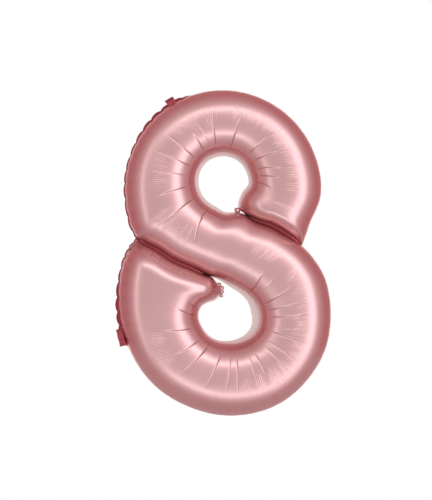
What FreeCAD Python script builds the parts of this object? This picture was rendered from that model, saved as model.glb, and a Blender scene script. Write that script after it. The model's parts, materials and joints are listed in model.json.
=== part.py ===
import FreeCAD, Part
import math
import os
import Sketcher

from FreeCAD import Matrix, Placement, Vector

# A foil numeral eight, 860 mm tall when inflated. It is one long inflated tube bent into an S whose two
# lobe ends butt against the diagonal, between a front and a back film welded together along every edge.
# +Z is up, +X to the right seen from the front, and the front faces -Y.
# The origin is the centre of the hang hole, which carries the balloon. Lengths are in mm, angles in degrees.

DRIVING_DIMENSIONS = [
    ("film_wall", 1.0, "wall of each panel; the real film is about 0.05"),
    ("seam_width", 6.0, "heat-seal seam outside the chamber"),
    ("top_radius", 261.0, "outside of the upper loop"),
    ("bottom_radius", 280.0, "outside of the lower loop"),
    ("loop_distance", 320.5, "upper loop's centre above the lower loop's"),
    ("loop_offset", 6.6, "lower loop's centre right of the upper loop's"),
    ("top_hole_radius", 74.0, "seal line round the upper hole"),
    ("top_hole_rise", 21.0, "upper hole's centre above its loop's centre"),
    ("bottom_hole_radius", 80.5, "seal line round the lower hole"),
    ("bottom_hole_shift", 9.2, "lower hole's centre right of its loop's centre"),
    ("bottom_hole_drop", 6.6, "lower hole's centre below its loop's centre"),
    ("hole_flange", 7.0, "flat film left inside each seal line"),
    ("cut_hole_shift", 9.0, "lower cut hole's centre left of its seal line's"),
    ("lobe_left", 4.0, "lower lobe's bulge, left of the lower loop"),
    ("lobe_up", 10.0, "lower lobe's bulge, above the lower loop"),
    ("depth_share", 0.88, "depth of the inflated tube over its width"),
    ("depth_width", 205.0, "widest section that the depth still follows"),
    ("end_half_depth", 4.0, "half depth at the weld across a lobe's end"),
    ("tab_bearing", 121.0, "where the hang tab sits on the upper loop"),
    ("tab_width", 24.0, "hang tab, along the seam"),
    ("tab_length", 20.0, "hang tab, root to tip"),
    ("tab_hole_radius", 2.0, "hole for the ribbon"),
    ("tab_hole_reach", 12.0, "from the fold line to the hang hole"),
    ("tab_fold", 55.0, "how far the tab is folded back at rest"),
    ("tail_bearing", 194.5, "where the inflation tail leaves the lower loop"),
    ("tail_width", 45.0, "inflation tail, along the seam"),
    ("tail_length", 80.0, "inflation tail, root to mouth"),
    ("tail_fold", 92.0, "how far the tail is folded back at rest"),
    ("tail_seal", 5.0, "weld along each side of the tail"),
    ("valve_width", 24.0, "flat self-sealing valve sleeve"),
    ("valve_reach", 72.0, "how far the sleeve reaches into the chamber"),
    ("valve_hinge_in", 4.0, "from the chamber's edge in to where the loose valve film starts"),
    ("ply", 0.5, "each film of the tail and the tab"),
    ("valve_film", 0.3, "each film of the valve sleeve"),
    ("film_gap", 0.1, "clearance between films that are not welded"),
    ("fold_gap", 2.2, "from a fold line to the film beyond it"),
    ("lining_gap", 2.7, "from the tail's fold line to its lining"),
    ("lining_short", 4.0, "how far the lining stops short of the tail's mouth"),
]

DEPTH_OF_WORK = 400.0  # larger than the balloon is deep
UP_TO_FULL_DEPTH = (0.0, 0.12, 0.33, 0.63)  # stations along a lobe's rounded end

doc = FreeCAD.newDocument("foil_number_balloon")
sheet = doc.addObject("Spreadsheet::Sheet", "Sheet")
sheet.Label = "driving_dimensions"
for row, (alias, value, meaning) in enumerate(DRIVING_DIMENSIONS, start=1):
    sheet.set(f"A{row}", meaning)
    sheet.set(f"B{row}", str(value))
    sheet.setAlias(f"B{row}", alias)
doc.recompute()

size = {alias: float(getattr(sheet, alias)) for alias, _, _ in DRIVING_DIMENSIONS}


def outward(bearing):
    """Unit vector in the seam plane, bearing degrees anticlockwise from +X."""
    angle = math.radians(bearing)
    return Vector(math.cos(angle), 0, math.sin(angle))


def polar(centre, radius, bearing):
    return centre + outward(bearing) * radius


def arc_points(centre, radius, first, last, count):
    """Points at equal turns from bearing first to bearing last."""
    step = (last - first) / (count - 1)
    return [polar(centre, radius, first + step * k) for k in range(count)]


# ---- Where everything lies: the hang hole is at the origin, behind the seam plane ----
tab_root = size["top_radius"] + size["seam_width"]
tab_direction = outward(size["tab_bearing"]) * math.cos(math.radians(size["tab_fold"]))
tab_direction = tab_direction + Vector(0, math.sin(math.radians(size["tab_fold"])), 0)
tab_fold_point = tab_direction * -size["tab_hole_reach"]
top_centre = tab_fold_point - outward(size["tab_bearing"]) * tab_root
bottom_centre = top_centre + Vector(size["loop_offset"], 0, -size["loop_distance"])
top_hole = top_centre + Vector(0, 0, size["top_hole_rise"])
bottom_hole = bottom_centre + Vector(size["bottom_hole_shift"], 0, -size["bottom_hole_drop"])
seam_y = top_centre.y


# ---- The two edges of the inflated tube, station by station along the S ----
def blend(start, end, share):
    return start + (end - start) * share


def tube_stations():
    """Pairs of points where the tube's section meets the seam plane, with the share of its full depth there.

    The first edge runs round the upper hole, along the top of the diagonal and round the lower loop.
    The second runs round the upper loop, along the bottom of the diagonal and round the lower hole."""
    top_r, bottom_r = size["top_radius"], size["bottom_radius"]
    top_hole_r, bottom_hole_r = size["top_hole_radius"], size["bottom_hole_radius"]

    upper_end = (polar(top_hole, 1.13 * top_hole_r, -60), polar(top_centre, 0.97 * top_r, -30.5))
    upper_loop = list(zip(
        arc_points(top_hole, top_hole_r, -30, 225, 10),
        arc_points(top_centre, top_r, -12, 209, 10),
    ))
    diagonal = [
        (polar(top_hole, 1.02 * top_hole_r, 250), polar(bottom_centre, 0.85 * bottom_r, 139)),
        (polar(top_hole, 1.22 * top_hole_r, 285), polar(bottom_centre, 0.55 * bottom_r, 130)),
        (polar(top_hole, 1.62 * top_hole_r, 306), polar(bottom_hole, 1.32 * bottom_hole_r, 115)),
        (polar(top_hole, 2.37 * top_hole_r, 317), polar(bottom_hole, bottom_hole_r, 92)),
        (polar(bottom_centre, 0.92 * bottom_r, 43), polar(bottom_hole, bottom_hole_r, 64)),
    ]
    lower_loop = list(zip(
        arc_points(bottom_centre, bottom_r, 27, -180, 9),
        arc_points(bottom_hole, bottom_hole_r, 40, -184, 9),
    ))
    lower_tip = (polar(bottom_centre, 1.02 * bottom_r, -194), polar(bottom_hole, 0.9 * bottom_hole_r, -194))
    lower_end = (polar(bottom_centre, 1.04 * bottom_r, -217), polar(bottom_hole, 0.76 * bottom_hole_r, -247))

    stations = []
    for share in UP_TO_FULL_DEPTH:
        pair = [blend(a, b, share) for a, b in zip(upper_end, upper_loop[0])]
        stations.append((pair[0], pair[1], math.sqrt(1 - (1 - share) ** 2)))
    stations += [(a, b, 1.0) for a, b in upper_loop + diagonal + lower_loop + [lower_tip]]
    for share in reversed(UP_TO_FULL_DEPTH):
        pair = [blend(a, b, share) for a, b in zip(lower_end, lower_tip)]
        stations.append((pair[0], pair[1], math.sqrt(1 - (1 - share) ** 2)))
    return stations


def smooth_stations():
    """The stations with one more between each pair of full-depth ones, on smooth curves through both edges."""
    stations = tube_stations()
    numbers = [float(number) for number in range(len(stations))]
    edges = []
    for side in (0, 1):
        edge = Part.BSplineCurve()
        edge.interpolate(Points=[station[side] for station in stations], Parameters=numbers)
        edges.append(edge)
    smooth = []
    for number, station in enumerate(stations[:-1]):
        smooth.append(station)
        if station[2] == stations[number + 1][2] == 1.0:
            smooth.append((edges[0].value(number + 0.5), edges[1].value(number + 0.5), 1.0))
    return smooth + [stations[-1]]


def tube_solid(inset):
    """The inflated tube as one solid of elliptical sections, inset inside its outer face."""
    stations = smooth_stations()
    sections = []
    for number, (edge_a, edge_b, share) in enumerate(stations):
        width = edge_a.distanceToPoint(edge_b)
        full_half_depth = min(width, size["depth_width"]) / 2 * size["depth_share"]
        half_depth = max(share * full_half_depth, size["end_half_depth"])
        middle = (edge_a + edge_b) * 0.5
        if number in (0, len(stations) - 1):
            neighbour = stations[1] if number == 0 else stations[-2]
            inwards = (neighbour[0] + neighbour[1]) * 0.5 - middle
            middle = middle + inwards.normalize() * inset * 2
        along = (edge_a - edge_b).normalize()
        end = middle + along * (width / 2 - inset)
        crown = middle + Vector(0, half_depth - inset, 0)
        sections.append(Part.Wire([Part.Ellipse(end, crown, middle).toBSpline().toShape()]))
    return Part.makeLoft(sections, True, True)


def disc(centre, radius, half_thickness):
    """Round plate lying across the seam plane."""
    base = centre - Vector(0, half_thickness, 0)
    return Part.makeCylinder(radius, 2 * half_thickness, base, Vector(0, 1, 0))


def seam_plate():
    """The film outside the chamber: the seam all round, and the webs between the lobe ends and the diagonal."""
    seam, wall = size["seam_width"], size["film_wall"]
    plate = disc(top_centre, size["top_radius"] + seam, wall)
    lobe_centre = bottom_centre + Vector(-size["lobe_left"], 0, size["lobe_up"])
    cut_centre = bottom_hole - Vector(size["cut_hole_shift"], 0, 0)
    plate = plate.fuse([
        disc(bottom_centre, size["bottom_radius"] + seam, wall),
        disc(lobe_centre, size["bottom_radius"] + seam, wall),
    ])
    holes = [
        disc(top_hole, size["top_hole_radius"] - size["hole_flange"], 2 * wall),
        disc(cut_centre, size["bottom_hole_radius"] - size["hole_flange"], 2 * wall),
    ]
    return plate.cut(holes).removeSplitter()


def root_frame(centre, reach, bearing, fold):
    """Frame at a fold line in the seam: X along the seam, Y the way the film leaves, Z to its back face."""
    across = outward(bearing + 90)
    leaving = outward(bearing) * math.cos(math.radians(fold)) + Vector(0, math.sin(math.radians(fold)), 0)
    back = across.cross(leaving)
    base = polar(centre, reach, bearing)
    matrix = Matrix(
        across.x, leaving.x, back.x, base.x,
        across.y, leaving.y, back.y, base.y,
        across.z, leaving.z, back.z, base.z,
        0, 0, 0, 1,
    )
    return Placement(matrix)


tail_reach = size["bottom_radius"] + size["seam_width"]
seam_frame = root_frame(bottom_centre, tail_reach, size["tail_bearing"], 0)
tail_frame = root_frame(bottom_centre, tail_reach, size["tail_bearing"], size["tail_fold"])
tab_frame = root_frame(top_centre, tab_root, size["tab_bearing"], size["tab_fold"])


def fill_channel():
    """Flat passage through the seam at the tail's root, which the valve sleeve runs through."""
    width = size["valve_width"] + 2
    length = 3 * size["seam_width"]
    height = size["film_wall"]
    channel = Part.makeBox(width, length, height, Vector(-width / 2, -length + 2, -height / 2))
    channel.Placement = seam_frame.multiply(channel.Placement)
    return channel


def make_panels():
    outside = tube_solid(0.0)
    inside = tube_solid(size["film_wall"])
    plate = seam_plate()
    channel = fill_channel()
    corner = Vector(-DEPTH_OF_WORK, seam_y, -3 * DEPTH_OF_WORK)
    behind = Part.makeBox(3 * DEPTH_OF_WORK, DEPTH_OF_WORK, 4 * DEPTH_OF_WORK, corner)
    in_front = behind.translated(Vector(0, -DEPTH_OF_WORK, 0))
    for label, side in (("front_panel", in_front), ("back_panel", behind)):
        shell = outside.common(side).fuse(plate.common(side)).cut(inside.common(side)).cut(channel)
        feature = doc.addObject("Part::Feature", label)
        feature.Label = label
        feature.Shape = shell.Solids[0]
        parts.append(feature)


# ---- Flat film pieces: the valve sleeve, the inflation tail and the hang tab ----
def add_rectangle(sketch, left, width, start, length):
    """Rectangle whose left edge, width, start and length are expressions on the sheet."""
    first = sketch.GeometryCount
    corners = [Vector(1, 1, 0), Vector(9, 1, 0), Vector(9, 11, 0), Vector(1, 11, 0)]
    for k in range(4):
        sketch.addGeometry(Part.LineSegment(corners[k], corners[(k + 1) % 4]), False)
    bottom, right, top, side = range(first, first + 4)
    for a, b in ((bottom, right), (right, top), (top, side), (side, bottom)):
        sketch.addConstraint(Sketcher.Constraint("Coincident", a, 2, b, 1))
    for horizontal, vertical in ((bottom, right), (top, side)):
        sketch.addConstraint(Sketcher.Constraint("Horizontal", horizontal))
        sketch.addConstraint(Sketcher.Constraint("Vertical", vertical))
    bind(sketch, Sketcher.Constraint("DistanceX", bottom, 1, bottom, 2, 8.0), width)
    bind(sketch, Sketcher.Constraint("DistanceY", right, 1, right, 2, 10.0), length)
    bind(sketch, Sketcher.Constraint("DistanceX", -1, 1, bottom, 1, 1.0), left)
    bind(sketch, Sketcher.Constraint("DistanceY", -1, 1, bottom, 1, 1.0), start)


def bind(sketch, constraint, expression):
    """Adds a dimension that follows the sheet."""
    index = sketch.addConstraint(constraint)
    sketch.setExpression(f"Constraints[{index}]", expression)


def new_sketch(body, name, height):
    """Sketch on the body's own XY plane, raised by an expression on the sheet."""
    sketch = body.newObject("Sketcher::SketchObject", name)
    plane = next(f for f in body.Origin.OriginFeatures if f.Role == "XY_Plane")
    sketch.AttachmentSupport = [(plane, "")]
    sketch.MapMode = "FlatFace"
    sketch.setExpression("AttachmentOffset.Base.z", height)
    return sketch


def pad(body, name, sketch, thickness):
    feature = body.newObject("PartDesign::Pad", name)
    feature.Profile = sketch
    feature.setExpression("Length", thickness)
    return feature


def film_strip(label, frame, outline, face, thickness, hole=None, seal=None):
    """A flat film. outline is width, start and length; face is the height of its lower face.

    hole is the radius and place of a round hole. seal is the height from which a weld along each side starts."""
    body = doc.addObject("PartDesign::Body", label)
    body.Label = label
    sketch = new_sketch(body, f"{label}_outline", face)
    width, start, length = outline
    add_rectangle(sketch, f"-{width} / 2", width, start, length)
    if hole:
        circle = sketch.addGeometry(Part.Circle(Vector(0, 5, 0), Vector(0, 0, 1), 1), False)
        sketch.addConstraint(Sketcher.Constraint("PointOnObject", circle, 3, -2))
        bind(sketch, Sketcher.Constraint("Radius", circle, 1.0), hole[0])
        bind(sketch, Sketcher.Constraint("DistanceY", -1, 1, circle, 3, 5.0), hole[1])
    pad(body, f"{label}_film", sketch, thickness)
    if seal:
        welds = new_sketch(body, f"{label}_weld_outline", seal[0])
        for left in (f"-{width} / 2", f"{width} / 2 - Sheet.tail_seal"):
            add_rectangle(welds, left, "Sheet.tail_seal", start, length)
        pad(body, f"{label}_welds", welds, seal[1])
    body.Placement = frame
    parts.append(body)


def make_valve():
    """Two loose films inside the chamber. Gas pressure closes them; a straw parts them."""
    reach = "-(Sheet.seam_width + Sheet.valve_reach)"
    film_strip(
        "valve_front_film", seam_frame,
        ("Sheet.valve_width", reach, "Sheet.seam_width + Sheet.valve_reach - Sheet.film_gap"),
        "-(Sheet.film_gap / 2 + Sheet.valve_film)", "Sheet.valve_film",
    )
    film_strip(
        "valve_back_film", seam_frame,
        ("Sheet.valve_width", reach, "Sheet.valve_reach - Sheet.valve_hinge_in - 1"),
        "Sheet.film_gap / 2", "Sheet.valve_film",
    )


def make_tail():
    """The folded strip that gas goes in through: two films welded along both sides, lined by the valve's mouth."""
    outline = ("Sheet.tail_width", "Sheet.fold_gap", "Sheet.tail_length")
    lining = ("Sheet.valve_width", "Sheet.lining_gap", "Sheet.tail_length - Sheet.lining_short")
    inner_face = "(Sheet.film_gap / 2 + Sheet.valve_film + Sheet.film_gap)"
    film_strip(
        "tail_front_film", tail_frame, outline, f"-({inner_face} + Sheet.ply)", "Sheet.ply",
        seal=(f"-{inner_face}", inner_face),
    )
    film_strip(
        "tail_back_film", tail_frame, outline, inner_face, "Sheet.ply", seal=("0 mm", inner_face),
    )
    film_strip(
        "valve_mouth_front_film", tail_frame, lining,
        "-(Sheet.film_gap / 2 + Sheet.valve_film)", "Sheet.valve_film",
    )
    film_strip(
        "valve_mouth_back_film", tail_frame, lining, "Sheet.film_gap / 2", "Sheet.valve_film",
    )


def make_hang_tab():
    outline = ("Sheet.tab_width", "Sheet.fold_gap", "Sheet.tab_length")
    hole = ("Sheet.tab_hole_radius", "Sheet.tab_hole_reach")
    film_strip("hang_tab_front_film", tab_frame, outline, "-Sheet.ply", "Sheet.ply", hole)
    film_strip("hang_tab_back_film", tab_frame, outline, "0 mm", "Sheet.ply", hole)


parts = []
make_panels()
make_valve()
make_tail()
make_hang_tab()
doc.recompute()

for item in doc.Objects:
    if "Invalid" in item.State or "Error" in item.State:
        raise RuntimeError(f"{item.Label} failed: {item.State}")
for item in parts:
    if item.Shape.isNull() or not item.Shape.isValid() or not item.Shape.Solids:
        raise RuntimeError(f"{item.Label} has no valid shape")

os.makedirs("parts", exist_ok=True)
for item in parts:
    item.Shape.exportStep(f"parts/{item.Label}.step")
    box = item.Shape.BoundBox
    print(
        f"{item.Label}: {item.Shape.Volume:.1f} mm3, {len(item.Shape.Solids)} solid,"
        f" x {box.XMin:.1f} {box.XMax:.1f}, y {box.YMin:.1f} {box.YMax:.1f}, z {box.ZMin:.1f} {box.ZMax:.1f}"
    )
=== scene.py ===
import json
import math

import bpy
import numpy as np
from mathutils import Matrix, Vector
from mathutils.bvhtree import BVHTree


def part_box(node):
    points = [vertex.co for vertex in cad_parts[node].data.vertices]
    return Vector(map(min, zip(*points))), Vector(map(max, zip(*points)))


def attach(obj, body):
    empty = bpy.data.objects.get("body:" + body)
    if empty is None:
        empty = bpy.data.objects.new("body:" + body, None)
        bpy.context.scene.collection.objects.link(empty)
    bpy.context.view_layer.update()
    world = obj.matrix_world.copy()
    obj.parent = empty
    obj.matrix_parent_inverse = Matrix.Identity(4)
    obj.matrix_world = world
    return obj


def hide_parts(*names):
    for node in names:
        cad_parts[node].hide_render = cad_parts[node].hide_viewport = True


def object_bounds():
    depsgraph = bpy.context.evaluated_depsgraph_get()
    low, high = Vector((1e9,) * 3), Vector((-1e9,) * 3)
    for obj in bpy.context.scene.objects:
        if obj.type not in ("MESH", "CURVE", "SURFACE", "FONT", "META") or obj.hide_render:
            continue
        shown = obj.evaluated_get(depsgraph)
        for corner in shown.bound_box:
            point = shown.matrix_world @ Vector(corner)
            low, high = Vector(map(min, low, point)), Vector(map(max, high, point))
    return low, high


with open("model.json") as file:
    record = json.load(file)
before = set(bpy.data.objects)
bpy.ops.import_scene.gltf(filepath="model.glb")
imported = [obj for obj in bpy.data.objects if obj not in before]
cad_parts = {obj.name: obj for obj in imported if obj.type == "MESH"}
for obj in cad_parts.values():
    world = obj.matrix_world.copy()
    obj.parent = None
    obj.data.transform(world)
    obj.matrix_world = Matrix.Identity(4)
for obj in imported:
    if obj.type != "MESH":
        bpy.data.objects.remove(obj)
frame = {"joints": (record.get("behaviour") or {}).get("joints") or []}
CAD_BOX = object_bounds()
MM = 0.001


# ---------------------------------------------------------------- places, from the frame
SEAM_WIDTH = 6 * MM
TOP_RADIUS = 261 * MM
BOTTOM_RADIUS = 280 * MM
panel_low, panel_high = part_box("front_panel")
SEAM_Y = panel_high[1]
BOTTOM_CENTRE = np.array([
    panel_high[0] - SEAM_WIDTH - BOTTOM_RADIUS, panel_low[2] + SEAM_WIDTH + BOTTOM_RADIUS])
TOP_CENTRE = np.array([BOTTOM_CENTRE[0] - 6.6 * MM, panel_high[2] - SEAM_WIDTH - TOP_RADIUS])
TOP_HOLE = TOP_CENTRE + np.array([1.3, 21.1]) * MM
BOTTOM_HOLE = BOTTOM_CENTRE + np.array([9.2, -6.6]) * MM
JOINTS = {joint["name"]: joint for joint in frame["joints"]}


def polar(centre, radius_mm, bearing):
    """Point in the seam plane, as x and z, bearing degrees anticlockwise from +X."""
    angle = math.radians(bearing)
    return centre + radius_mm * MM * np.array([math.cos(angle), math.sin(angle)])


# ---------------------------------------------------------------- curves and noise
def natural_spline(knots, values, at):
    """Natural cubic spline through values at knots, read at the places in at."""
    step = np.diff(knots)
    count = len(knots)
    matrix = np.eye(count)
    right = np.zeros_like(values)
    for k in range(1, count - 1):
        matrix[k, k - 1:k + 2] = step[k - 1], 2 * (step[k - 1] + step[k]), step[k]
        right[k] = 6 * ((values[k + 1] - values[k]) / step[k] - (values[k] - values[k - 1]) / step[k - 1])
    bend = np.linalg.solve(matrix, right)
    k = np.clip(np.searchsorted(knots, at) - 1, 0, count - 2)
    gap = step[k][:, None]
    low, high = (knots[k + 1] - at)[:, None], (at - knots[k])[:, None]
    out = bend[k] * low ** 3 / (6 * gap) + bend[k + 1] * high ** 3 / (6 * gap)
    out = out + (values[k] / gap - bend[k] * gap / 6) * low
    return out + (values[k + 1] / gap - bend[k + 1] * gap / 6) * high


def smooth_step(low, high, x):
    t = np.clip((x - low) / (high - low), 0, 1)
    return t * t * (3 - 2 * t)


def value_noise(x, seed):
    """Smooth repeatable noise between -1 and 1 along x, one wave per unit."""
    table = np.random.default_rng(seed).uniform(-1, 1, 512)
    cell = np.floor(x).astype(int)
    t = x - cell
    t = t * t * (3 - 2 * t)
    return table[cell % 512] * (1 - t) + table[(cell + 1) % 512] * t


def unit(vectors):
    return vectors / (np.linalg.norm(vectors, axis=-1, keepdims=True) + 1e-12)


# ---------------------------------------------------------------- the tube's two edges
# Where the tube's section crosses the seam plane, from the upper lobe's end to the lower lobe's: centre, radius
# in millimetres and bearing. Edge a runs round the upper hole, along the top of the diagonal and round the lower
# loop; edge b round the upper loop, along the bottom of the diagonal and round the lower hole.
TOP, BOTTOM, UPPER, LOWER = TOP_CENTRE, BOTTOM_CENTRE, TOP_HOLE, BOTTOM_HOLE
STATIONS = [
    ((UPPER, 89.5, -61.5), (TOP, 255.5, -35.4)),
    ((UPPER, 73.5, -51.5), (TOP, 250.5, -28.5)),
    ((UPPER, 65.0, -33.6), (TOP, 247.5, -20.5)),
    ((UPPER, 72.5, -11), (TOP, 257.5, -7)),
    ((UPPER, 73.0, 14), (TOP, 260, 14)),
    ((UPPER, 72.8, 40), (TOP, 260, 40)),
    ((UPPER, 72.8, 65), (TOP, 260, 66)),
    ((UPPER, 72.8, 90), (TOP, 260.5, 90)),
    ((UPPER, 73.5, 115), (TOP, 260, 112)),
    ((UPPER, 73.8, 140), (TOP, 259.5, 135)),
    ((UPPER, 73.8, 165), (TOP, 258.5, 157)),
    ((UPPER, 74.0, 188), (TOP, 258.5, 176)),
    ((UPPER, 74.5, 208), (TOP, 259.5, 193)),
    ((UPPER, 75.5, 226), (TOP, 260.5, 209.3)),
    ((UPPER, 76.5, 243), (BOTTOM, 250.5, 139)),
    ((UPPER, 81.0, 260), (BOTTOM, 192.5, 136.5)),
    ((UPPER, 87.5, 276), (BOTTOM, 147.5, 130)),
    ((UPPER, 101.0, 301), (BOTTOM, 107.0, 119)),
    ((UPPER, 136.0, 310), (LOWER, 104.0, 114)),
    ((UPPER, 163.0, 316), (LOWER, 92.5, 105)),
    ((BOTTOM, 257.5, 53), (LOWER, 78.0, 90)),
    ((BOTTOM, 265.0, 40.3), (LOWER, 69.8, 71)),
    ((BOTTOM, 271.0, 30), (LOWER, 68.3, 47)),
    ((BOTTOM, 276.5, 20), (LOWER, 71.5, 26)),
    ((BOTTOM, 278.0, 8), (LOWER, 77.0, 8)),
    ((BOTTOM, 280.0, -6), (LOWER, 81.8, -8)),
    ((BOTTOM, 284.0, -22), (LOWER, 85.5, -25)),
    ((BOTTOM, 284.5, -40), (LOWER, 84.5, -42)),
    ((BOTTOM, 285.0, -58), (LOWER, 82.0, -58)),
    ((BOTTOM, 281.0, -76), (LOWER, 80.0, -76)),
    ((BOTTOM, 276.0, -94), (LOWER, 79.3, -96)),
    ((BOTTOM, 271.5, -112), (LOWER, 80.5, -116)),
    ((BOTTOM, 272.0, -130), (LOWER, 81.0, -135)),
    ((BOTTOM, 272.5, -148), (LOWER, 81.0, -153)),
    ((BOTTOM, 273.5, -164), (LOWER, 82.3, -169)),
    ((BOTTOM, 280.0, -180), (LOWER, 80.0, -183)),
    ((BOTTOM, 288.5, -193), (LOWER, 73.0, -196)),
    ((BOTTOM, 297.5, -204), (LOWER, 60.5, -210)),
    ((BOTTOM, 300.0, -212), (LOWER, 52.5, -227)),
    ((BOTTOM, 296.0, -219.3), (LOWER, 63.5, -252)),
]
KNOT_A = np.array([polar(*a) for a, _ in STATIONS])
KNOT_B = np.array([polar(*b) for _, b in STATIONS])
KNOTS = np.concatenate([[0], np.cumsum(np.linalg.norm(np.diff((KNOT_A + KNOT_B) / 2, axis=0), axis=1))])
LENGTH = KNOTS[-1]
FINE = np.linspace(0, LENGTH, 4001)
FINE_A = natural_spline(KNOTS, KNOT_A, FINE)
FINE_B = natural_spline(KNOTS, KNOT_B, FINE)


def on_curve(curve, s):
    """Points of a finely sampled edge at distances s along the tube."""
    return np.stack([np.interp(s, FINE, curve[:, 0]), np.interp(s, FINE, curve[:, 1])], axis=-1)


COLUMNS = 40
ROUND = np.linspace(0, math.pi, COLUMNS)
FROM_A = (1 - np.cos(ROUND)) / 2


# ---------------------------------------------------------------- creases
# Each crease: bearing at its inner end, bearing at its outer end, how far across the tube it starts and
# reaches (0 at the hole, 1 at the outer seam), and its strength.
TOP_CREASES = [
    (104, 100, 0.12, 0.68, 1.0), (114, 115, 0.16, 0.55, 0.4), (125, 124, 0.11, 0.47, 0.9),
    (143, 142, 0.14, 0.68, 0.9), (158, 157, 0.12, 0.68, 0.9), (173, 173, 0.16, 0.66, 0.8),
    (190, 194, 0.11, 0.61, 1.0), (211, 215, 0.09, 0.54, 1.1), (237, 244, 0.09, 0.64, 1.1),
    (79, 75, 0.08, 0.68, 1.1), (47, 45, 0.11, 0.61, 0.8), (33, 28, 0.12, 0.53, 1.0),
    (19, 11, 0.09, 0.50, 0.8), (7, 2, 0.10, 0.42, 0.9), (-3, -12, 0.07, 0.31, 0.9),
]
BOTTOM_CREASES = [
    (46, 53, 0.03, 0.42, 1.0), (36, 39, 0.18, 0.44, 0.4), (16, 25, 0.10, 0.56, 1.0),
    (5, 9, 0.11, 0.56, 0.9), (-5, 0, 0.12, 0.65, 0.9), (-17, -11, 0.2, 0.69, 0.4),
    (-23, -21, 0.17, 0.74, 1.0), (-35, -36, 0.20, 0.73, 0.8), (-43, -45, 0.22, 0.72, 0.8),
    (-58, -60, 0.20, 0.55, 0.9), (-66, -69, 0.19, 0.52, 0.7), (-82, -85, 0.18, 0.67, 1.0),
    (-90, -93, 0.17, 0.62, 0.8), (-104, -109, 0.16, 0.67, 1.0), (-124, -130, 0.09, 0.65, 1.1),
    (-139, -145, 0.10, 0.59, 0.9), (-159, -167, 0.10, 0.53, 1.0), (-178, -187, 0.06, 0.31, 1.0),
    (-188, -197, 0.03, 0.19, 0.9), (-198, -207, 0.0, 0.12, 0.6),
]
CREASE_DEPTH, CREASE_REACH = 1.15 * MM, 1.2 * MM
PILLOW_DEPTH, PILLOW_REACH = 0.5 * MM, 7 * MM


def lay_creases(table, hole, inward, span, mirror):
    """Where each crease crosses every column.

    Each answer: distance along the tube, offset per column, share per column, and the crease itself."""
    s = np.linspace(*span, 1500)
    a, b = on_curve(FINE_A, s), on_curve(FINE_B, s)
    laid = []
    for number, (inner, outer, start, reach, strength) in enumerate(table):
        if mirror:
            shift = 5 * math.sin(2.3 * number)
            inner, outer, reach = inner + shift, outer + shift, reach * (0.9 + 0.15 * math.cos(number * 1.7))
        share = FROM_A if inward == "a" else 1 - FROM_A
        target = inner + (outer - inner) * np.clip((share - start) / (reach - start), -0.4, 1.2)
        where = np.empty(COLUMNS)
        for j in range(COLUMNS):
            point = a + (b - a) * FROM_A[j] - hole
            bearing = np.degrees(np.unwrap(np.arctan2(point[:, 1], point[:, 0])))
            bearing += 360 * round((target[j] - bearing.mean()) / 360)
            order = np.argsort(bearing)
            where[j] = np.interp(target[j], bearing[order], s[order])
        reference = where[np.argmin(np.abs(share - (start + reach) / 2))]
        offset = np.clip(where - reference, -22 * MM, 22 * MM)
        laid.append((reference, offset, share, (start, reach, strength)))
    return laid


STEP = 1.12 * MM
PLEAT_ROWS = 4
PLEAT_HEIGHT = 0.45 * MM


def lay_rows(laid):
    """Rows along the tube: even, with one exactly on each crease; close together at the rounded ends.

    Returns the distances, and each row's count since the last crease."""
    anchors = [0.0] + [item[0] for item in laid] + [LENGTH]
    rows, since = [], []
    for k, (low, high) in enumerate(zip(anchors[:-1], anchors[1:])):
        count = max(4, round((high - low) / STEP))
        x = np.arange(count) / count
        if k == 0:
            x = x ** 1.7
        elif k == len(anchors) - 2:
            x = 1 - (1 - x) ** 1.7
        part = low + (high - low) * x
        if 0 < k < len(anchors) - 2:
            part[1] = low + 0.55 * MM
            part[-1] = high - 0.55 * MM
        rows.append(part)
        since.append(np.arange(count))
    return np.append(np.concatenate(rows), LENGTH), np.append(np.concatenate(since), 0)


# ---------------------------------------------------------------- the inflated film
UPPER_END, LOWER_END = 36 * MM, 66 * MM
DEPTH_SHARE = 0.87
FULL_DEPTH = 86 * MM
EVEN_PASSES, STRAIGHT_PASSES = 201, 1500   # smoothing along the tube: everywhere, and in the diagonal
SHELL_DEPTH = 2.8 * MM


def end_curve(before, curve, span, after):
    """A lobe's flat end as a fine line: along the film it is pressed against, and round its free corner."""
    line = np.array(before + list(on_curve(curve, np.linspace(*span, 80))) + after)
    run = np.concatenate([[0], np.cumsum(np.linalg.norm(np.diff(line, axis=0), axis=1))])
    at = np.linspace(0, run[-1], 400)
    line = np.stack([np.interp(at, run, line[:, 0]), np.interp(at, run, line[:, 1])], axis=1)
    for _ in range(60):
        line[1:-1] = (line[:-2] + 2 * line[1:-1] + line[2:]) / 4
    return line


UPPER_END_LINE = end_curve(
    [KNOT_A[0], polar(UPPER, 93, -59.5)], FINE_A, (KNOTS[17] + 5 * MM, KNOTS[21]), [])
LOWER_END_LINE = end_curve(
    [], FINE_B, (KNOTS[13] + 2 * MM, KNOTS[18] - 3 * MM),
    [polar(LOWER, 90.5, 112.3), polar(LOWER, 77, 109), KNOT_B[-1]])


def distance_to(line, points):
    """Distance in plan from every point of a block to a fine line."""
    tangent = unit(np.gradient(line, axis=0))
    offset = points[..., None, :] - line
    nearest = np.argmin(np.sum(offset ** 2, axis=-1), axis=-1)
    offset = points - line[nearest]
    half = np.linalg.norm(line[1] - line[0]) / 2
    slide = np.clip(np.sum(offset * tangent[nearest], axis=-1), -half, half)
    return np.linalg.norm(offset - slide[..., None] * tangent[nearest], axis=-1)


def edge_distances(plan, rows):
    """Distances in plan from the grid's points to edge a and edge b, looking only near their own row."""
    found = np.empty((2,) + plan.shape[:2])
    for begin in range(0, len(rows), 40):
        part = slice(begin, begin + 40)
        window = (FINE > rows[part][0] - 170 * MM) & (FINE < rows[part][-1] + 170 * MM)
        for k, curve in enumerate((FINE_A, FINE_B)):
            found[k, part] = distance_to(curve[window][::3], plan[part])
    return found


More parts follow.
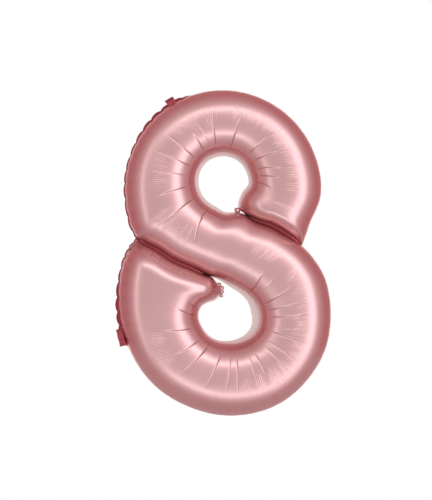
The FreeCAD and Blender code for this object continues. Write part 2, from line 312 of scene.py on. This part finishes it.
def scallop(s, seed):
    """Notches between the small shells of the gathered left seam: 1 in a notch, 0 on a shell's crown."""
    phase = s / (23.5 * MM) + 0.3 * value_noise(s / (40 * MM), seed)
    return (1 - np.abs(np.sin(math.pi * phase)) ** 0.55)


LEFT_TOP = (KNOTS[8], KNOTS[13])
LEFT_BOTTOM = KNOTS[33] + 20 * MM


def film(side, seed):
    """One panel's inflated film as a grid of points, with what its surface carries."""
    laid = lay_creases(TOP_CREASES, TOP_HOLE, "a", (0, KNOTS[17]), side < 0)
    laid += lay_creases(BOTTOM_CREASES, BOTTOM_HOLE, "b", (KNOTS[18], LENGTH), side < 0)
    laid.sort(key=lambda item: item[0])
    rows, since = lay_rows(laid)

    # offsets that lay the rows along the creases, and fade out towards the lobes' ends
    places = [0, 20 * MM] + [item[0] for item in laid] + [KNOTS[17], LENGTH - 25 * MM, LENGTH]
    shifts = [np.zeros(COLUMNS)] * 2 + [item[1] for item in laid] + [np.zeros(COLUMNS)] * 3
    order = np.argsort(places, kind="stable")
    places, shifts = np.array(places)[order], np.array(shifts)[order]
    offset = np.stack([np.interp(rows, places, shifts[:, j]) for j in range(COLUMNS)], axis=1)
    s = np.clip(rows[:, None] + offset, 0, LENGTH)

    a, b = on_curve(FINE_A, s), on_curve(FINE_B, s)
    width = np.linalg.norm(a - b, axis=-1)
    start, stop = np.clip(s / (90 * MM), 0, 1), np.clip((LENGTH - s) / (90 * MM), 0, 1)
    sine = np.sin(ROUND)[None, :]
    plan = a + (b - a) * FROM_A[None, :, None]
    chord_upper = KNOT_A[0] + (KNOT_B[0] - KNOT_A[0]) * FROM_A[:, None]
    chord_lower = KNOT_A[-1] + (KNOT_B[-1] - KNOT_A[-1]) * FROM_A[:, None]
    pick = FROM_A * (len(UPPER_END_LINE) - 1)
    shares = np.arange(len(UPPER_END_LINE))
    upper_line = np.stack([np.interp(pick, shares, UPPER_END_LINE[:, k]) for k in (0, 1)], axis=1)
    lower_line = np.stack([np.interp(pick, shares, LOWER_END_LINE[:, k]) for k in (0, 1)], axis=1)
    plan = plan + (1 - start[..., None]) ** 2 * (upper_line - chord_upper)[None]
    plan = plan + (1 - stop[..., None]) ** 2 * (lower_line - chord_lower)[None]

    # the height of an inflated tube: the mean of the distances to its two edges, less towards the lobes' ends
    from_edges = edge_distances(plan, rows)
    near_upper, near_lower = rows < 140 * MM, rows > LENGTH - 150 * MM
    fullness = np.ones(width.shape)
    reach = np.clip(distance_to(UPPER_END_LINE, plan[near_upper]) / UPPER_END, 0, 1)
    fullness[near_upper] *= (1 - (1 - reach) ** 2.3) ** (1 / 2.3)
    reach = np.clip(distance_to(LOWER_END_LINE, plan[near_lower]) / LOWER_END, 0, 1)
    fullness[near_lower] *= (1 - (1 - reach) ** 2.2) ** (1 / 2.2)
    height = np.sqrt(from_edges[0] * from_edges[1]) * DEPTH_SHARE
    height = FULL_DEPTH * (1 - np.exp(-((height / FULL_DEPTH) ** 6))) ** (1 / 6)
    even = height.copy()
    for count in range(1, STRAIGHT_PASSES + 1):
        even[1:-1] = (even[:-2] + 2 * even[1:-1] + even[2:]) / 4
        if count == EVEN_PASSES:
            height = even.copy()
    diagonal = smooth_step(KNOTS[14], KNOTS[16], rows) * (1 - smooth_step(KNOTS[18], KNOTS[20], rows))
    height += (even - height) * diagonal[:, None]

    points = np.empty(plan.shape[:2] + (3,))
    points[..., 0], points[..., 2] = plan[..., 0], plan[..., 1]
    points[..., 1] = SEAM_Y - side * height * fullness

    normal = unit(np.cross(np.gradient(points, axis=0), np.gradient(points, axis=1)))
    flip = np.sign(np.sum(normal[..., 1] * -side * sine))
    normal *= flip if flip else 1
    spread = np.linalg.norm(np.gradient(plan, axis=0), axis=-1) / np.gradient(rows)[:, None]

    # creases: dents in the film, and a painted shade line along each crease's bottom, kept in fold
    push, fold = np.zeros(width.shape), np.zeros(width.shape)
    for reference, _, share, (begin, reach, strength) in laid:
        gap = np.abs(rows - reference)[:, None] * spread
        progress = ((share - begin) / (reach - begin))[None, :]
        along = smooth_step(-0.1, 0.12, progress) * (1 - smooth_step(0.62, 1.02, progress)) * strength
        push += along * (
            CREASE_DEPTH * np.exp(-gap / CREASE_REACH) + PILLOW_DEPTH * np.exp(-gap / PILLOW_REACH))
        # painted shade: a thin dark line on the rows at each crease's bottom
        fold = np.maximum(fold, along * np.exp(-(gap / (0.8 * MM)) ** 2))

    # fine pleats on the crown, each four rows long
    inner = np.where(rows[:, None] < KNOTS[17], FROM_A[None, :], 1 - FROM_A[None, :])
    ridge = np.cumsum(since % PLEAT_ROWS == 0)
    dice = np.random.default_rng(seed).uniform(0, 1, (3, ridge.max() + 1))
    centre = 0.585 + 0.05 * value_noise(rows / (55 * MM), seed + 1) + 0.03 * (dice[0][ridge] - 0.5)
    reach = 0.07 + 0.09 * dice[1][ridge] + 0.03 * value_noise(rows / (80 * MM), seed + 2)
    body = 1 - smooth_step(0.75, 1.2, np.abs(inner - centre[:, None]) / reach[:, None])
    shape = np.array([0.0, 1.0, 0.0, -1.0])[since % PLEAT_ROWS]
    present = smooth_step(-0.8, -0.1, value_noise(rows / (48 * MM) + 5, seed + 3))
    present = present * (0.35 + 0.65 * dice[2][ridge])
    present = present * smooth_step(45 * MM, 80 * MM, rows) * smooth_step(130 * MM, 200 * MM, LENGTH - rows)
    present = present * (
        1 - 0.85 * smooth_step(KNOTS[14], KNOTS[15], rows) * (1 - smooth_step(KNOTS[19], KNOTS[20], rows)))
    pleat = PLEAT_HEIGHT * body * (shape * present)[:, None]

    # gathers along the outer seams, deeper on the left where the seam shows as a row of small shells
    notch = scallop(rows, 7)[:, None]
    outer_b = smooth_step(LEFT_TOP[0] - 15 * MM, LEFT_TOP[0] + 10 * MM, rows)
    outer_b = outer_b * (1 - smooth_step(LEFT_TOP[1] - 4 * MM, LEFT_TOP[1] + 4 * MM, rows))
    outer_a = smooth_step(LEFT_BOTTOM - 6 * MM, LEFT_BOTTOM + 6 * MM, rows)
    edge_b = np.exp(-(1 - FROM_A) * width.mean() / (10 * MM))[None, :]
    edge_a = np.exp(-FROM_A * width.mean() / (10 * MM))[None, :]
    shells = notch * (outer_a[:, None] * edge_a + outer_b[:, None] * edge_b)
    light_b = (1 - smooth_step(KNOTS[12], KNOTS[13], rows)) * smooth_step(0, 30 * MM, rows) * (1 - outer_b)
    light_a = smooth_step(KNOTS[21], KNOTS[22], rows) * (1 - outer_a)
    phase = math.pi * rows / (31 * MM) + 1.5 * value_noise(rows / (60 * MM), seed + 4)
    ripple = (1 - np.abs(np.sin(phase))) ** 3
    gather = ripple[:, None] * (light_a[:, None] * edge_a + light_b[:, None] * edge_b)

    inward = np.zeros_like(points)
    toward_b = unit(b - a)
    inward[..., 0], inward[..., 2] = toward_b[..., 0], toward_b[..., 1]
    sign = np.where(FROM_A < 0.5, 1.0, -1.0)[None, :, None]
    soft = 0.5 * MM * value_noise(rows / (65 * MM) + 11, seed + 5)[:, None] * sine ** 2
    ends = np.minimum(1, fullness * 1.4)
    points -= normal * ((push + 0.5 * MM * gather) * ends - pleat - soft)[..., None]
    points += inward * sign * (SHELL_DEPTH * shells * ends)[..., None]
    points[:, [0, -1], 1] = SEAM_Y
    # painted shade in the notches between the left seam's small shells
    fold = np.maximum(fold, np.clip(shells * 0.9, 0, 0.7))
    return dict(points=points, fold=fold, rows=rows, a=points[:, 0], b=points[:, -1],
                left_a=outer_a, left_b=outer_b)


def outward(curve, other):
    """Unit vectors in the seam plane, square to the curve and away from the other edge."""
    tangent = np.gradient(curve[:, [0, 2]], axis=0)
    normal = unit(np.stack([tangent[:, 1], -tangent[:, 0]], axis=1))
    away = np.sign(np.sum(normal * (curve - other)[:, [0, 2]], axis=1))
    return normal * away[:, None]


def flange_rows(curve, away, width, fold, side):
    """Two columns of points beyond an edge of the chamber: the welded film, turned back by fold degrees."""
    columns = []
    for share in (0.5, 1.0):
        turn = np.radians(fold)
        plan = curve[:, [0, 2]] + away * (width * share * np.cos(turn) + 0.15 * MM)[:, None]
        column = np.empty((len(curve), 3))
        column[:, 0], column[:, 2] = plan[:, 0], plan[:, 1]
        column[:, 1] = SEAM_Y - side * 0.12 * MM + width * share * np.sin(turn)
        columns.append(column)
    return columns


# Widths of the welded film in millimetres, station by station from the upper lobe's end, where it isn't even.
FLANGE_A = [4.5, 6, 7] + [7.5] * 13 + [5, 0.5, 0.3, 0.3, 0.3, 2] + [4.0] * 11 + [7, 13, 9] + [4.0] * 4
FLANGE_B = [2] + [4.0] * 7 + [9, 9] + [4.0] * 4 + [0.3] * 4 + [0.8, 4, 7, 9, 12, 17, 20, 20, 18, 15, 11, 8, 5, 2.5, 1]
FLANGE_B = FLANGE_B + [0.6] * 4 + [1, 3, 4]


def make_panel(name, node, side, seed, foil, weld_pale_reflection, painted_shade_foil):
    grid = film(side, seed)
    rows = grid["rows"]
    width_a = np.interp(rows, KNOTS, FLANGE_A) * MM
    width_b = np.interp(rows, KNOTS, FLANGE_B) * MM
    around_hole_a, around_hole_b = rows < KNOTS[17], rows > KNOTS[18] - 5 * MM
    fold_a = np.where(around_hole_a, 0, 90 - 52 * grid["left_a"])
    fold_b = np.where(around_hole_b, 0, 90 - 52 * grid["left_b"])
    shell = 1.1 - 0.5 * scallop(rows, 7)
    width_a = width_a * (1 + grid["left_a"] * (shell - 1))
    width_b = width_b * (1 + grid["left_b"] * (shell - 1))
    columns_a = flange_rows(grid["a"], outward(grid["a"], grid["b"]), width_a, fold_a, side)
    columns_b = flange_rows(grid["b"], outward(grid["b"], grid["a"]), width_b, fold_b, side)
    points = np.concatenate([
        columns_a[1][:, None], columns_a[0][:, None], grid["points"],
        columns_b[0][:, None], columns_b[1][:, None]],
        axis=1)
    # painted shade: the left seam's turned-back flange is darkened in full
    painted_shade_a, painted_shade_b = grid["left_a"][:, None] * [1.0, 1.0], grid["left_b"][:, None] * [1.0, 1.0]
    fold = np.concatenate([painted_shade_a, grid["fold"], painted_shade_b], axis=1)
    which = np.zeros((len(rows) - 1, points.shape[1] - 1))
    # material 1 round the holes: the welded film's paler tone, which also stands in for a painted pale reflection at
    # the holes' edges
    which[around_hole_a[:-1], :2] = 1
    which[around_hole_b[:-1], -2:] = 1
    # material 2 on the left flange: the dark copy of the foil, painted shade
    which[grid["left_a"][:-1] > 0.5, :2] = 2
    which[grid["left_b"][:-1] > 0.5, -2:] = 2
    piece = grid_mesh(name, points, {"fold": fold}, (foil, weld_pale_reflection, painted_shade_foil), which,
                      sharp_columns=(2, points.shape[1] - 3))
    declare(piece, "envelope", node)
    return piece


# ---------------------------------------------------------------- meshes
def grid_mesh(name, points, attributes=None, materials=(), face_material=None, sharp_columns=()):
    """A mesh object from a grid of points, with float attributes."""
    rows, columns = points.shape[:2]
    index = np.arange(rows * columns).reshape(rows, columns)
    quads = np.stack([index[:-1, :-1], index[:-1, 1:], index[1:, 1:], index[1:, :-1]], axis=-1).reshape(-1, 4)
    return mesh_object(name, points.reshape(-1, 3), quads, attributes, materials, face_material,
                       columns=columns, sharp_columns=sharp_columns)


def mesh_object(name, vertices, faces, attributes=None, materials=(), face_material=None,
                columns=1, sharp_columns=()):
    mesh = bpy.data.meshes.new(name)
    mesh.from_pydata(np.asarray(vertices).tolist(), [], np.asarray(faces).tolist())
    for key, values in (attributes or {}).items():
        layer = mesh.attributes.new(key, "FLOAT", "POINT")
        layer.data.foreach_set("value", np.ascontiguousarray(values.reshape(-1), dtype=np.float32))
    for material in materials:
        mesh.materials.append(material)
    if face_material is not None:
        mesh.polygons.foreach_set("material_index", face_material.reshape(-1).astype(np.int32))
    mesh.polygons.foreach_set("use_smooth", np.ones(len(mesh.polygons), dtype=bool))
    if sharp_columns:
        ends = np.empty(len(mesh.edges) * 2, dtype=np.int32)
        mesh.edges.foreach_get("vertices", ends)
        column = ends.reshape(-1, 2) % columns
        sharp = (column[:, 0] == column[:, 1]) & np.isin(column[:, 0], sharp_columns)
        layer = mesh.attributes.new("sharp_edge", "BOOLEAN", "EDGE")
        layer.data.foreach_set("value", sharp)
    mesh.update()
    piece = bpy.data.objects.new(name, mesh)
    bpy.context.scene.collection.objects.link(piece)
    return piece


def declare(piece, body, node):
    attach(piece, body)
    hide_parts(node)


def ball_faces(rings, around):
    faces = []
    for i in range(rings - 1):
        for j in range(around):
            k = (j + 1) % around
            faces.append((i * around + j, i * around + k, (i + 1) * around + k, (i + 1) * around + j))
    return faces


def make_puckers(name, spots, foil):
    """Small puffed folds at a sharp corner of the seam: (point, radius in mm, depth in mm, strength of painted shade
    round the pucker's rim).
    """
    vertices, faces, fold = [], [], []
    rings, around = 13, 24
    for number, (point, radius, depth, dark) in enumerate(spots):
        base = len(vertices)
        for i in range(rings):
            tilt = math.pi * (i + 0.02) / (rings - 1 + 0.04)
            for j in range(around):
                turn = 2 * math.pi * j / around
                wobble = 1 + 0.10 * math.sin(3 * turn + number) + 0.05 * math.sin(7 * turn + 2 * number)
                reach = radius * MM * math.sin(tilt) * wobble
                vertices.append((
                    point[0] + reach * math.cos(turn), SEAM_Y - depth * MM * math.cos(tilt),
                    point[1] + reach * math.sin(turn)))
                # painted shade, strongest on the ring where the pucker meets the seam
                fold.append(dark * math.sin(tilt) ** 4)
        faces += [tuple(base + v for v in face) for face in ball_faces(rings, around)]
    piece = mesh_object(name, vertices, faces, {"fold": np.array(fold)}, (foil,))
    declare(piece, "envelope", "front_panel")


def make_fold_lines(name, panel, lines, foil):
    """Short pinched folds on the front film: each a low ridge along a line in plan, laid on the surface and painted
    dark as shade.
    """
    tree = BVHTree.FromPolygons(
        [v.co for v in panel.data.vertices], [p.vertices[:] for p in panel.data.polygons])
    vertices, faces = [], []
    for begin, end, wide, high in lines:
        track = []
        for share in np.linspace(0, 1, 15):
            x, z = begin + (end - begin) * share
            place, normal, _, _ = tree.ray_cast(Vector((x, CAD_BOX[0][1] - 0.1, z)), Vector((0, 1, 0)), 0.5)
            if place is not None:
                swell = math.sin(math.pi * min(1, share + 0.1))
                track.append((place, normal if normal.y < 0 else -normal, swell))
        base = len(vertices)
        for k, (place, normal, swell) in enumerate(track):
            ahead = track[min(k + 1, len(track) - 1)][0] - track[max(k - 1, 0)][0]
            across = ahead.cross(normal).normalized()
            half = wide * MM / 2 * (0.35 + 0.65 * swell)
            vertices += [place - across * half - normal * 0.1 * MM, place + normal * high * MM * swell,
                         place + across * half - normal * 0.1 * MM]
        for k in range(len(track) - 1):
            for j in (0, 1):
                at = base + 3 * k + j
                faces.append((at, at + 1, at + 4, at + 3))
    # painted shade along the whole ridge
    fold = np.full(len(vertices), 0.8)
    piece = mesh_object(name, [tuple(v) for v in vertices], faces, {"fold": fold}, (foil,))
    declare(piece, "envelope", "front_panel")


def make_slit_folds(name, lines, high, half, foil):
    """Film pressed together in the slits between the lobes and the diagonal: a low ribbon along each slit, painted
    dark as the slit's shade.
    """
    vertices, faces = [], []
    for line in lines:
        base = len(vertices)
        swell = np.sin(math.pi * np.clip(np.linspace(0.02, 0.98, len(line)), 0, 1)) ** 0.4
        tangent = unit(np.gradient(line, axis=0))
        for point, ahead, lift in zip(line, tangent, swell):
            across = np.array([ahead[1], -ahead[0]]) * half * MM
            for share, drop in ((-1, 2), (0, 0), (1, 2)):
                x, z = point + across * share
                vertices.append((x, SEAM_Y - (high * lift - drop) * MM, z))
        for k in range(len(line) - 1):
            for j in (0, 1):
                at = base + 3 * k + j
                faces.append((at, at + 1, at + 4, at + 3))
    # painted shade over the whole ribbon, on top of the dark foil copy it is given
    piece = mesh_object(name, vertices, faces, {"fold": np.full(len(vertices), 0.9)}, (foil,))
    declare(piece, "envelope", "front_panel")


def make_strip(name, node, body, path, across, width, thick, crumple, seed, material):
    """A closed thin strip of film along a path, with crumples that run along it and painted shade that varies with
    them; across is a unit vector.
    """
    path = np.asarray(path, float)
    along = np.concatenate([[0], np.cumsum(np.linalg.norm(np.diff(path, axis=0), axis=1))])
    count, wide = 60, 25
    s = np.linspace(0, along[-1], count)
    line = np.stack([np.interp(s, along, path[:, k]) for k in range(3)], axis=1)
    for _ in range(6):
        line[1:-1] = (line[:-2] + 2 * line[1:-1] + line[2:]) / 4
    ahead = unit(np.gradient(line, axis=0))
    across = np.asarray(across, float)
    up = unit(np.cross(across, ahead))
    v = np.linspace(-0.5, 0.5, wide)
    wave = crumple * (
        np.sin(v[None, :] * 13 + 2 * value_noise(s / (30 * MM), seed)[:, None])
        * (0.4 + 0.6 * np.exp(-s / (15 * MM)))[:, None]
        + 0.5 * value_noise((s / (9 * MM))[:, None] + 40 * v[None, :] ** 2, seed + 1))
    sheets = []
    for lift in (-thick / 2, thick / 2):
        sheets.append(line[:, None, :] + across * (v * width)[None, :, None]
                      + up[:, None, :] * (wave + lift)[..., None])
    around = np.concatenate([sheets[0], sheets[1][:, ::-1]], axis=1)
    around = np.concatenate([around, around[:, :1]], axis=1)
    round_wave = np.concatenate([wave, wave[:, ::-1], wave[:, :1]], axis=1)
    # painted shade: dark over the whole strip, more or less with the crumples' height
    piece = grid_mesh(name, around, {"fold": np.clip(0.75 + 400 * round_wave, 0, 1)}, (material,))
    declare(piece, body, node)
    return piece


# ---------------------------------------------------------------- materials
def new_material(name):
    material = bpy.data.materials.new(name)
    material.use_nodes = True
    nodes, links = material.node_tree.nodes, material.node_tree.links
    return material, nodes, links, nodes["Principled BSDF"]


def foil_material(name, light, dark, fold_shade_colour, coat=1.0):
    """Satin metallised film: rose metal under a thin clear coat, with painted shade in its folds: the fold attribute
    mixes in a dark fold colour.
    """
    material, nodes, links, shader = new_material(name)
    shader.inputs["Metallic"].default_value = 1.0
    shader.inputs["Coat Weight"].default_value = coat
    shader.inputs["Coat IOR"].default_value = 2.4
    shader.inputs["Coat Roughness"].default_value = 0.24
    noise = nodes.new("ShaderNodeTexNoise")
    noise.inputs["Scale"].default_value = 7.0
    noise.inputs["Detail"].default_value = 3.0
    where = nodes.new("ShaderNodeTexCoord")
    links.new(where.outputs["Object"], noise.inputs["Vector"])
    tone = nodes.new("ShaderNodeMix")
    tone.data_type = "RGBA"
    tone.inputs["A"].default_value = (*dark, 1)
    tone.inputs["B"].default_value = (*light, 1)
    links.new(noise.outputs["Fac"], tone.inputs["Factor"])
    # painted shade: the fold attribute darkens the base colour towards the dark fold colour along creases, seam
    # notches and folds
    fold = nodes.new("ShaderNodeAttribute")
    fold.attribute_name = "fold"
    strength = nodes.new("ShaderNodeMath")
    strength.operation = "MULTIPLY"
    strength.use_clamp = True
    strength.inputs[1].default_value = 0.85
    links.new(fold.outputs["Fac"], strength.inputs[0])
    shaded = nodes.new("ShaderNodeMix")
    shaded.data_type = "RGBA"
    shaded.inputs["B"].default_value = (*fold_shade_colour, 1)
    links.new(strength.outputs[0], shaded.inputs["Factor"])
    links.new(tone.outputs["Result"], shaded.inputs["A"])
    links.new(shaded.outputs["Result"], shader.inputs["Base Color"])
    rough = nodes.new("ShaderNodeMapRange")
    rough.inputs["To Min"].default_value = 0.34
    rough.inputs["To Max"].default_value = 0.41
    links.new(noise.outputs["Fac"], rough.inputs["Value"])
    links.new(rough.outputs["Result"], shader.inputs["Roughness"])
    grain = nodes.new("ShaderNodeTexNoise")
    grain.inputs["Scale"].default_value = 260.0
    links.new(where.outputs["Object"], grain.inputs["Vector"])
    bump = nodes.new("ShaderNodeBump")
    bump.inputs["Strength"].default_value = 0.25
    bump.inputs["Distance"].default_value = 0.05 * MM
    links.new(grain.outputs["Fac"], bump.inputs["Height"])
    links.new(bump.outputs["Normal"], shader.inputs["Normal"])
    return material


def clear_film_material():
    material, nodes, links, shader = new_material("clear_film")
    shader.inputs["Base Color"].default_value = (0.9, 0.9, 0.88, 1)
    shader.inputs["Roughness"].default_value = 0.25
    shader.inputs["Alpha"].default_value = 0.55
    noise = nodes.new("ShaderNodeTexNoise")
    noise.inputs["Scale"].default_value = 120.0
    bump = nodes.new("ShaderNodeBump")
    bump.inputs["Distance"].default_value = 0.1 * MM
    links.new(noise.outputs["Fac"], bump.inputs["Height"])
    links.new(bump.outputs["Normal"], shader.inputs["Normal"])
    return material


# ---------------------------------------------------------------- studio
# Soft lamps of the light tent: the way each lies as azimuth and elevation in degrees, where azimuth 0 is behind
# the camera and positive to its right, half width and half height as sines, strength and colour.
LAMPS = [
    ("right_box", 40, 2, 0.22, 0.60, 1.8, (0.90, 0.94, 1.0)),
    ("top_box", 4, 36, 0.50, 0.14, 1.9, (0.93, 0.99, 0.97)),
    ("low_reflector", 0, -34, 0.45, 0.13, 1.7, (0.93, 0.99, 0.98)),
    ("left_box", -48, 4, 0.12, 0.5, 1.0, (0.95, 0.98, 0.96)),
    ("rear_box", 180, 0, 0.45, 0.45, 0.8, (1.0, 0.98, 0.97)),
]
BASE_FRONT, BASE_BACK = (0.72, 0.74, 0.74), (0.58, 0.27, 0.28)


def math_node(nodes, links, operation, first, second=None):
    node = nodes.new("ShaderNodeMath")
    node.operation = operation
    for socket, value in zip(node.inputs, (first, second)):
        if value is None:
            continue
        if isinstance(value, (int, float)):
            socket.default_value = value
        else:
            links.new(value, socket)
    return node.outputs[0]


def dot(nodes, links, direction, vector):
    node = nodes.new("ShaderNodeVectorMath")
    node.operation = "DOT_PRODUCT"
    links.new(direction, node.inputs[0])
    node.inputs[1].default_value = vector
    return node.outputs["Value"]


def make_world():
    """A light tent: even light with soft boxes in front of the object and one behind; white to the eye."""
    world = bpy.data.worlds.new("light_tent")
    bpy.context.scene.world = world
    world.use_nodes = True
    nodes, links = world.node_tree.nodes, world.node_tree.links
    nodes.clear()
    where = nodes.new("ShaderNodeTexCoord").outputs["Generated"]
    facing = dot(nodes, links, where, (0, 1, 0))
    even = nodes.new("ShaderNodeMapRange")
    even.interpolation_type = "SMOOTHSTEP"
    even.inputs["From Min"].default_value = -0.9
    even.inputs["From Max"].default_value = 0.3
    links.new(facing, even.inputs["Value"])
    tint = nodes.new("ShaderNodeMix")
    tint.data_type = "RGBA"
    tint.inputs["A"].default_value = (*BASE_FRONT, 1)
    tint.inputs["B"].default_value = (*BASE_BACK, 1)
    links.new(even.outputs["Result"], tint.inputs["Factor"])
    light = nodes.new("ShaderNodeBackground")
    links.new(tint.outputs["Result"], light.inputs["Color"])
    total = light.outputs[0]
    for name, azimuth, elevation, half_width, half_height, strength, colour in LAMPS:
        turn, lift = math.radians(azimuth), math.radians(elevation)
        axis = Vector((math.sin(turn) * math.cos(lift), -math.cos(turn) * math.cos(lift), math.sin(lift)))
        right = Vector((math.cos(turn), math.sin(turn), 0))
        up = right.cross(-axis)
        ahead = dot(nodes, links, where, axis)
        spread = []
        for vector, half in ((right, half_width), (up, half_height)):
            off = dot(nodes, links, where, tuple(vector / half))
            square = math_node(nodes, links, "MULTIPLY", off, off)
            spread.append(math_node(nodes, links, "MULTIPLY", square, square))
        fall = math_node(nodes, links, "ADD", *spread)
        glow = math_node(nodes, links, "EXPONENT", math_node(nodes, links, "MULTIPLY", fall, -1.0))
        glow = math_node(nodes, links, "MULTIPLY", glow, math_node(nodes, links, "GREATER_THAN", ahead, 0.0))
        box = nodes.new("ShaderNodeBackground")
        box.name = name
        box.inputs["Color"].default_value = (*colour, 1)
        links.new(math_node(nodes, links, "MULTIPLY", glow, strength), box.inputs["Strength"])
        add = nodes.new("ShaderNodeAddShader")
        links.new(total, add.inputs[0])
        links.new(box.outputs[0], add.inputs[1])
        total = add.outputs[0]
    white = nodes.new("ShaderNodeBackground")
    white.inputs["Color"].default_value = (1, 1, 1, 1)
    eye = nodes.new("ShaderNodeLightPath")
    mix = nodes.new("ShaderNodeMixShader")
    links.new(eye.outputs["Is Camera Ray"], mix.inputs["Fac"])
    links.new(total, mix.inputs[1])
    links.new(white.outputs[0], mix.inputs[2])
    out = nodes.new("ShaderNodeOutputWorld")
    links.new(mix.outputs[0], out.inputs["Surface"])


def make_floor():
    low = CAD_BOX[0][2] - 0.5
    corners = [(x, y, low) for x, y in ((-1.5, -0.4), (1.9, -0.4), (1.9, 1.6), (-1.5, 1.6))]
    material, nodes, links, shader = new_material("studio_floor")
    shader.inputs["Base Color"].default_value = (0.78, 0.78, 0.78, 1)
    shader.inputs["Roughness"].default_value = 0.9
    mesh_object("studio_floor", corners, [(0, 1, 2, 3)], materials=(material,))


VIEW_HEIGHT = 1.319
CAMERA_DISTANCE = 4.0
CAMERA_YAW = 3.0


def make_camera():
    aim = Vector((TOP_CENTRE[0] - 18.5 * MM, SEAM_Y, TOP_CENTRE[1] - 161 * MM))
    data = bpy.data.cameras.new("camera")
    data.sensor_fit = "VERTICAL"
    data.sensor_height = 24
    data.lens = 24 * CAMERA_DISTANCE / VIEW_HEIGHT
    camera = bpy.data.objects.new("camera", data)
    bpy.context.scene.collection.objects.link(camera)
    yaw = math.radians(CAMERA_YAW)
    camera.location = aim + Vector((-math.sin(yaw), -math.cos(yaw), 0)) * CAMERA_DISTANCE
    camera.rotation_euler = (math.pi / 2, 0, -yaw)
    bpy.context.scene.camera = camera


# ---------------------------------------------------------------- build
# each foil's third colour is painted shade, mixed in by the fold attribute
foil = foil_material("rose_foil", (0.66, 0.30, 0.30), (0.62, 0.27, 0.27), (0.22, 0.015, 0.03))
# the welded film round the holes: paler than the foil, partly its own tone and partly a painted pale reflection
weld_pale_reflection = foil_material("rose_weld_painted_reflection", (0.86, 0.60, 0.575), (0.82, 0.55, 0.53), (0.30, 0.03, 0.05))
# a dark copy of the foil with little coat: painted shade for the left seam's flange, the slit ribbons, the tail and
# the hang tab
painted_shade_foil = foil_material("rose_foil_painted_shade", (0.50, 0.08, 0.10), (0.42, 0.05, 0.07), (0.34, 0.04, 0.06), 0.15)
clear_film = clear_film_material()
make_world()
make_floor()
make_camera()
front = make_panel("front_foil", "front_panel", 1, 21, foil, weld_pale_reflection, painted_shade_foil)
make_panel("back_foil", "back_panel", -1, 22, foil, weld_pale_reflection, painted_shade_foil)

make_puckers("front_foil_corner_curl", [(polar(UPPER, 86, -64.5), 8.2, 9.0, 0.9)], foil)
make_puckers("front_foil_tip_puckers", [
    (polar(LOWER, 79, 109.5), 6.0, 5.0, 0.9), (polar(LOWER, 68.5, 106.5), 6.4, 6.0, 0.9),
    (polar(LOWER, 59, 109), 6.0, 6.0, 0.9), (polar(LOWER, 50, 114), 5.0, 5.0, 0.9)], foil)
make_fold_lines("front_foil_folds", front, [
    (polar(UPPER, 160, -36.5), polar(UPPER, 162, -42.5), 1.6, 0.5),
    (polar(UPPER, 211, -34), polar(UPPER, 216, -40), 1.6, 0.5),
    (polar(UPPER, 233, -24.6), polar(UPPER, 253, -26), 1.8, 0.6),
    (polar(UPPER, 241, 5.2), polar(UPPER, 254, 4.8), 1.6, 0.5),
    (polar(UPPER, 243, -8.8), polar(UPPER, 255, -8.6), 1.6, 0.5),
    (polar(LOWER, 258, 140.8), polar(LOWER, 253, 145.5), 1.8, 0.6),
    (polar(LOWER, 230, 139.9), polar(LOWER, 228, 147.2), 1.8, 0.6),
    (polar(LOWER, 174, 136.7), polar(LOWER, 176, 143.6), 1.8, 0.6)], foil)

make_slit_folds("front_foil_slit_folds", [UPPER_END_LINE[60:-12], LOWER_END_LINE[12:300]], 22, 4.5, painted_shade_foil)

tail_joint, tab_joint = JOINTS["tail_fold"], JOINTS["tab_fold"]


def folded_film(joint, centre, angle, out, length, lift):
    """Path of a film that leaves the seam at a fold line, turns and lies back; then its unit across."""
    root = np.array(joint["pos_m"], float)
    across = -np.array(joint["axis"], float)
    away = unit(np.array([root[0] - centre[0], 0, root[2] - centre[1]]))
    turn = math.radians(angle)
    leaving = math.cos(turn) * away + math.sin(turn) * np.array([0, 1, 0])
    face = unit(np.cross(across, leaving))
    bend = root + away * out
    path = [root - away * 9 * MM, root + away * out * 0.6, bend + leaving * 2 * MM, bend + leaving * 8 * MM,
            bend * 0.35 + root * 0.65 + leaving * length * 0.55, root + leaving * length]
    return [point + face * lift for point in path], across


# the tail and hang tab films are drawn in the dark painted-shade foil; the valve linings are clear film
for number, (name, node, lift, thick, width, length) in enumerate((
        ("tail_front", "tail_front_film", -0.75, 0.3, 45, 80), ("tail_back", "tail_back_film", 0.75, 0.3, 45, 80),
        ("valve_mouth_front", "valve_mouth_front_film", -0.25, 0.15, 24, 76),
        ("valve_mouth_back", "valve_mouth_back_film", 0.25, 0.15, 24, 76))):
    lining = "mouth" in name
    path, across = folded_film(tail_joint, BOTTOM_CENTRE, 92, 6 * MM, length * MM, lift * MM)
    make_strip(name, node, "tail", path[3:] if lining else path, across, width * MM, thick * MM,
               (0.15 if lining else 0.6) * MM, 31, clear_film if lining else painted_shade_foil)
for name, node, lift in (
        ("hang_tab_front", "hang_tab_front_film", -0.3), ("hang_tab_back", "hang_tab_back_film", 0.3)):
    path, across = folded_film(tab_joint, TOP_CENTRE, 55, 3 * MM, 20 * MM, lift * MM)
    make_strip(name, node, "hang_tab", path, across, 24 * MM, 0.25 * MM, 0.35 * MM, 41, painted_shade_foil)

# the sleeve of the self-sealing valve, inside the chamber between the panels
seam_line = np.array(tail_joint["pos_m"], float)
into = -unit(np.array([seam_line[0] - BOTTOM_CENTRE[0], 0, seam_line[2] - BOTTOM_CENTRE[1]]))
sleeve_across = -np.array(tail_joint["axis"], float)
for name, node, body, lift, begin in (("valve_front", "valve_front_film", "envelope", -0.3, 16),
                                      ("valve_back", "valve_back_film", "valve_flap", 0.3, 19)):
    start = seam_line * [1, 0, 1] + [0, SEAM_Y + lift * MM, 0]
    path = [start + into * reach * MM for reach in (begin, 35, 57, 77)]
    make_strip(name, node, body, path, sleeve_across, 24 * MM, 0.15 * MM, 0.08 * MM, 51, clear_film)

bpy.context.scene.view_settings.view_transform = "Standard"
